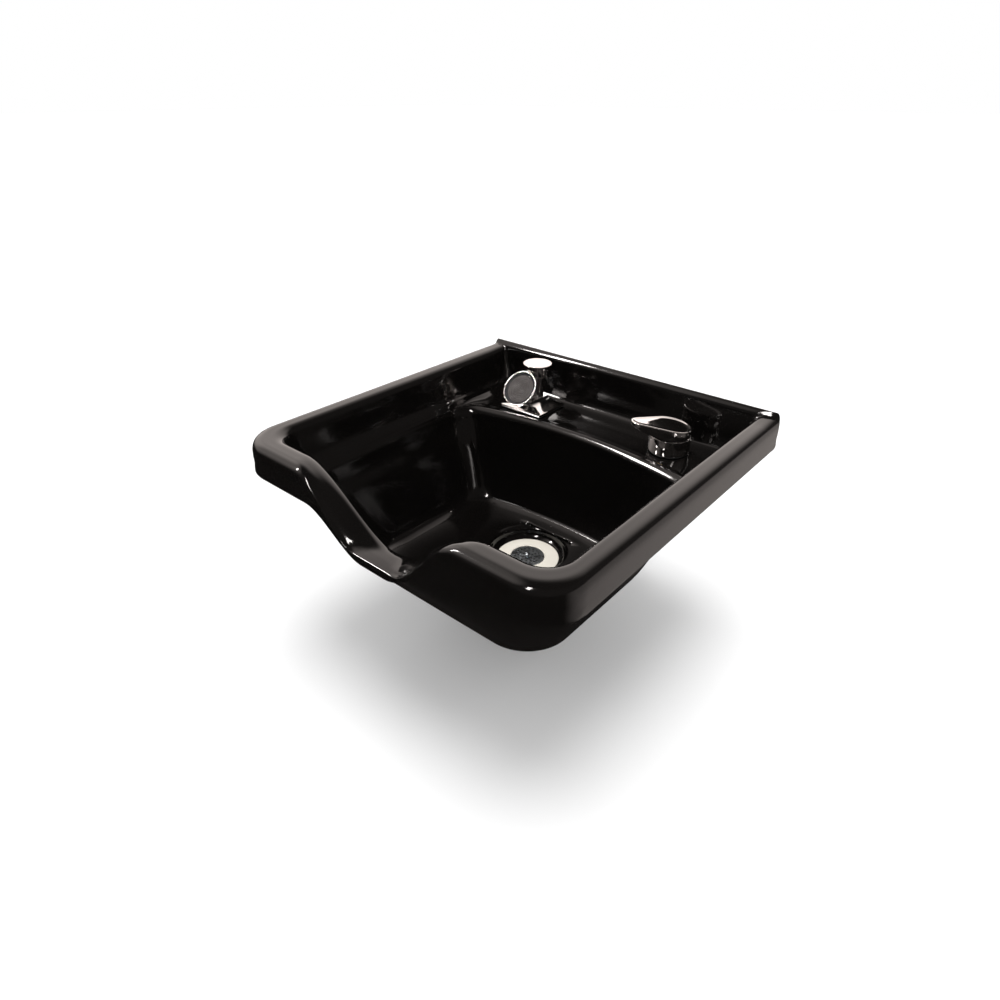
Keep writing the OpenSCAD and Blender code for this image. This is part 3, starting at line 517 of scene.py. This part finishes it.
def make_dock_plate():
    """A square plate with a flat border, whose hollow sides sweep up along four ridges to the fixtures."""
    low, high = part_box("dock_gasket")
    x0, y0 = (low.x + high.x) / 2 / MM, (low.y + high.y) / 2 / MM
    half_x, half_y = (high.x - low.x) / 2 / MM + 1, (high.y - low.y) / 2 / MM + 1
    base, top, edge = high.z / MM, high.z / MM + PLATE_RISE, 4.0
    neck_x, neck_y, side_n, bevel, border = 13.0, 24.0, 12, 0.35, 4.0

    def square(hx, hy, z):
        corners = [(-hx, -hy), (hx, -hy), (hx, hy), (-hx, hy)]
        pts = []
        for k in range(4):
            a, b = np.array(corners[k]), np.array(corners[(k + 1) % 4])
            step = (b - a) / np.linalg.norm(b - a) * bevel
            pts += [a + step + (b - a - 2 * step) * t for t in np.arange(side_n + 1) / side_n]
        return [Vector(((x0 + x) * MM, (y0 + y) * MM, z * MM)) for x, y in pts]

    rings = [square(half_x - 0.3, half_y - 0.3, base), square(half_x, half_y, base + 0.4),
             square(half_x, half_y, base + edge - 1.2),
             square(half_x - 0.25, half_y - 0.25, base + edge - 0.7),
             square(half_x - 0.8, half_y - 0.8, base + edge - 0.4),
             square(half_x - border, half_y - border, base + edge - 0.2)]
    for t in np.arange(25) / 24:
        fall = (1 - t) ** 2.2
        rings.append(square(neck_x + (half_x - border - 0.3 - neck_x) * fall,
                            neck_y + (half_y - border - 0.3 - neck_y) * fall,
                            base + edge - 0.1 + (top - base - edge + 0.1) * t))
    mesh = mesh_of_rings("dock_escutcheon", rings, closed=False)
    plate = add_piece("dock_escutcheon", mesh, "dock_plate", smooth_angle=28)
    stem = stem_matrix()
    bore(plate, stem @ Matrix.Translation((0, 0, -30 * MM)), HOSE_R, 40)
    bore(plate, on_axis("breaker_body") @ Matrix.Translation((0, 0, (base - 1) * MM)), PORT_R, 20)
    boss_h = BOSS_R * math.tan(STEM_LEAN)
    boss = [(HOSE_R, BOSS_FOOT), (BOSS_R, BOSS_FOOT), (BOSS_R, boss_h), (HOSE_R, boss_h)]
    turned("dock_boss", rounded(boss, 0.4, 3), stem, "dock_plate")


def spray_matrix():
    """The spray face's frame: Z out of the face, and the origin in the middle of the ring's outer plane."""
    low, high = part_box("spray_ring")
    radius, tilt = (high.x - low.x) / 2, math.radians(50)
    drop = 2 * MM
    centre = Vector(((low.x + high.x) / 2, (low.y + high.y) / 2, (low.z + high.z) / 2))
    facing = Matrix.Rotation(tilt, 4, "X")
    return Matrix.Translation(centre) @ facing @ Matrix.Translation((0, 0, drop / 2)), radius / MM


def make_spray_head():
    matrix, r = spray_matrix()
    shell_r, back_r, deep, cup_r, cup_z, plug_r = r - 1, 10.0, 20.0, 24.0, -5.0, 23.0
    dish_r = shell_r - 0.5
    bell = [(back_r + (shell_r - back_r) * t ** 0.7, -deep + (deep - 2) * t) for t in np.arange(17) / 16]
    shell = [(0, -deep), *bell, (dish_r, -2), (cup_r, cup_z), (0, cup_z)]
    turned("spray_bell", rounded(shell, 0.3, 2), matrix, "spray_shell", smooth_angle=45)
    lip = [(dish_r, -2), (r, -2), (r, -0.7), (r - 0.6, 0), (dish_r, -0.4)]
    turned("spray_rim", rounded(lip, 0.4, 4), matrix, "spray_ring", smooth_angle=50)
    groove, pitch, dome = 0.22, 2.8, 0.8
    profile = [(rr, -2.9 + dome * (1 - (rr / 22) ** 2) + groove * math.cos(TURN * rr / pitch))
               for rr in np.linspace(0, 22, 73)]
    profile[0] = (0, profile[0][1])
    face = [*profile, (plug_r, -3.4), (plug_r, cup_z), (0, cup_z)]
    turned("spray_rings_face", face, matrix, "spray_face", smooth_angle=60)


make_dock_plate()
make_spray_head()


# ---------- Stage, lights and camera ----------


def make_floor():
    low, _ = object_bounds()
    bpy.ops.mesh.primitive_plane_add(size=60, location=(0, 0, low.z))
    floor = bpy.context.object
    floor.name = "floor"
    pale = bpy.data.materials.new("pale_floor")
    pale.use_nodes = True
    pale.node_tree.nodes["Principled BSDF"].inputs["Base Color"].default_value = (0.86, 0.86, 0.86, 1)
    pale.node_tree.nodes["Principled BSDF"].inputs["Roughness"].default_value = 0.9
    pale.node_tree.nodes["Principled BSDF"].inputs["Specular IOR Level"].default_value = 0.0
    floor.data.materials.append(pale)
    floor.visible_glossy = False


def make_room():
    """The room: plain white for diffuse light, and for gloss a wall behind and a patch at the left."""
    world = bpy.data.worlds.new("room")
    bpy.context.scene.world = world
    world.use_nodes = True
    nodes = world.node_tree.nodes
    link = world.node_tree.links.new
    nodes.clear()

    def ramp(value, low, high, to_low, to_high):
        made = nodes.new("ShaderNodeMapRange")
        made.interpolation_type = "SMOOTHSTEP"
        for key, v in (("From Min", low), ("From Max", high), ("To Min", to_low), ("To Max", to_high)):
            made.inputs[key].default_value = v
        link(value, made.inputs["Value"])
        return made.outputs["Result"]

    def along(direction):
        made = nodes.new("ShaderNodeVectorMath")
        made.operation = "DOT_PRODUCT"
        link(place.outputs["Generated"], made.inputs[0])
        made.inputs[1].default_value = direction
        return made.outputs["Value"]

    def maths(operation, a, b):
        made = nodes.new("ShaderNodeMath")
        made.operation = operation
        for socket, v in zip(made.inputs, (a, b)):
            if isinstance(v, float):
                socket.default_value = v
            else:
                link(v, socket)
        return made.outputs["Value"]

    place = nodes.new("ShaderNodeTexCoord")
    rise = along((0, 0, 1))
    wall = ramp(rise, 0.6, 0.97, 1.0, 0.0)
    level = maths("SQRT", maths("SUBTRACT", 1.0001, maths("MULTIPLY", rise, rise)), 0.0)
    heading = maths("DIVIDE", along((-0.65, 0.76, 0)), level)
    behind = ramp(heading, 0.45, 0.93, 0.03, 1.0)
    left = ramp(along((-0.75, -0.3, 0.6)), 0.75, 0.98, 0.0, 1.1)
    sky = maths("ADD", maths("ADD", maths("MULTIPLY", maths("MULTIPLY", wall, behind), 1.5), left), 0.05)
    ground = maths("ADD", ramp(along((0.65, 0.76, 0)), 0.4, 0.8, 0.0, 0.6), 0.015)
    is_sky = ramp(rise, -0.02, 0.02, 0.0, 1.0)
    below = maths("MULTIPLY", ground, maths("SUBTRACT", 1.0, is_sky))
    radiance = maths("ADD", maths("MULTIPLY", sky, is_sky), below)

    gloss = nodes.new("ShaderNodeBackground")
    gloss.inputs["Color"].default_value = (1.0, 0.9, 0.85, 1)
    link(radiance, gloss.inputs["Strength"])
    plain = nodes.new("ShaderNodeBackground")
    plain.inputs["Color"].default_value = (1, 1, 1, 1)
    plain.inputs["Strength"].default_value = 1.0
    path = nodes.new("ShaderNodeLightPath")
    mix = nodes.new("ShaderNodeMixShader")
    out = nodes.new("ShaderNodeOutputWorld")
    link(path.outputs["Is Glossy Ray"], mix.inputs["Fac"])
    link(plain.outputs["Background"], mix.inputs[1])
    link(gloss.outputs["Background"], mix.inputs[2])
    link(mix.outputs["Shader"], out.inputs["Surface"])


def add_panel(name, direction, distance, width, length, watts, roll=0.0):
    """A soft rectangular lamp that looks at the middle of the bowl from the given direction."""
    lamp = bpy.data.lights.new(name, "AREA")
    lamp.shape = "RECTANGLE"
    lamp.size, lamp.size_y = width, length
    lamp.energy = watts
    lamp.color = (1.0, 0.95, 0.92)
    holder = bpy.data.objects.new(name, lamp)
    bpy.context.scene.collection.objects.link(holder)
    out = Vector(direction).normalized()
    aim = Vector((0, -0.25, -0.08))
    facing = out.to_track_quat("Z", "Y").to_matrix().to_4x4() @ Matrix.Rotation(math.radians(roll), 4, "Z")
    holder.matrix_world = Matrix.Translation(aim + out * distance) @ facing
    holder.visible_camera = False
    holder.visible_diffuse = False


def add_overhead():
    """A wide soft sun straight above, which whitens the floor and leaves the shadow under the bowl."""
    lamp = bpy.data.lights.new("overhead", "SUN")
    lamp.energy, lamp.angle = 1.7, 0.6
    holder = bpy.data.objects.new("overhead", lamp)
    bpy.context.scene.collection.objects.link(holder)
    holder.visible_glossy = False


def make_camera():
    """The camera stands at the front right and looks down into the bowl with a wide lens."""
    azimuth, elevation = math.radians(40.58), math.radians(31.06)
    data = bpy.data.cameras.new("camera")
    data.lens, data.sensor_width = 24.45, 36
    camera = bpy.data.objects.new("camera", data)
    bpy.context.scene.collection.objects.link(camera)
    level = math.cos(elevation)
    back = Vector((math.sin(azimuth) * level, -math.cos(azimuth) * level, math.sin(elevation)))
    camera.location = (0.51067, -0.88174, 0.37645)
    camera.rotation_mode = "QUATERNION"
    camera.rotation_quaternion = (-back).to_track_quat("-Z", "Y")
    bpy.context.scene.camera = camera


make_floor()
make_room()
add_panel("strip_a", (-0.6, -0.5, 0.6), 2.4, 0.2, 1.0, 45, roll=20)
add_panel("strip_b", (0.1, -0.75, 0.65), 2.4, 0.25, 1.0, 30)
add_overhead()
make_camera()
bpy.context.scene.view_settings.view_transform = "Standard"
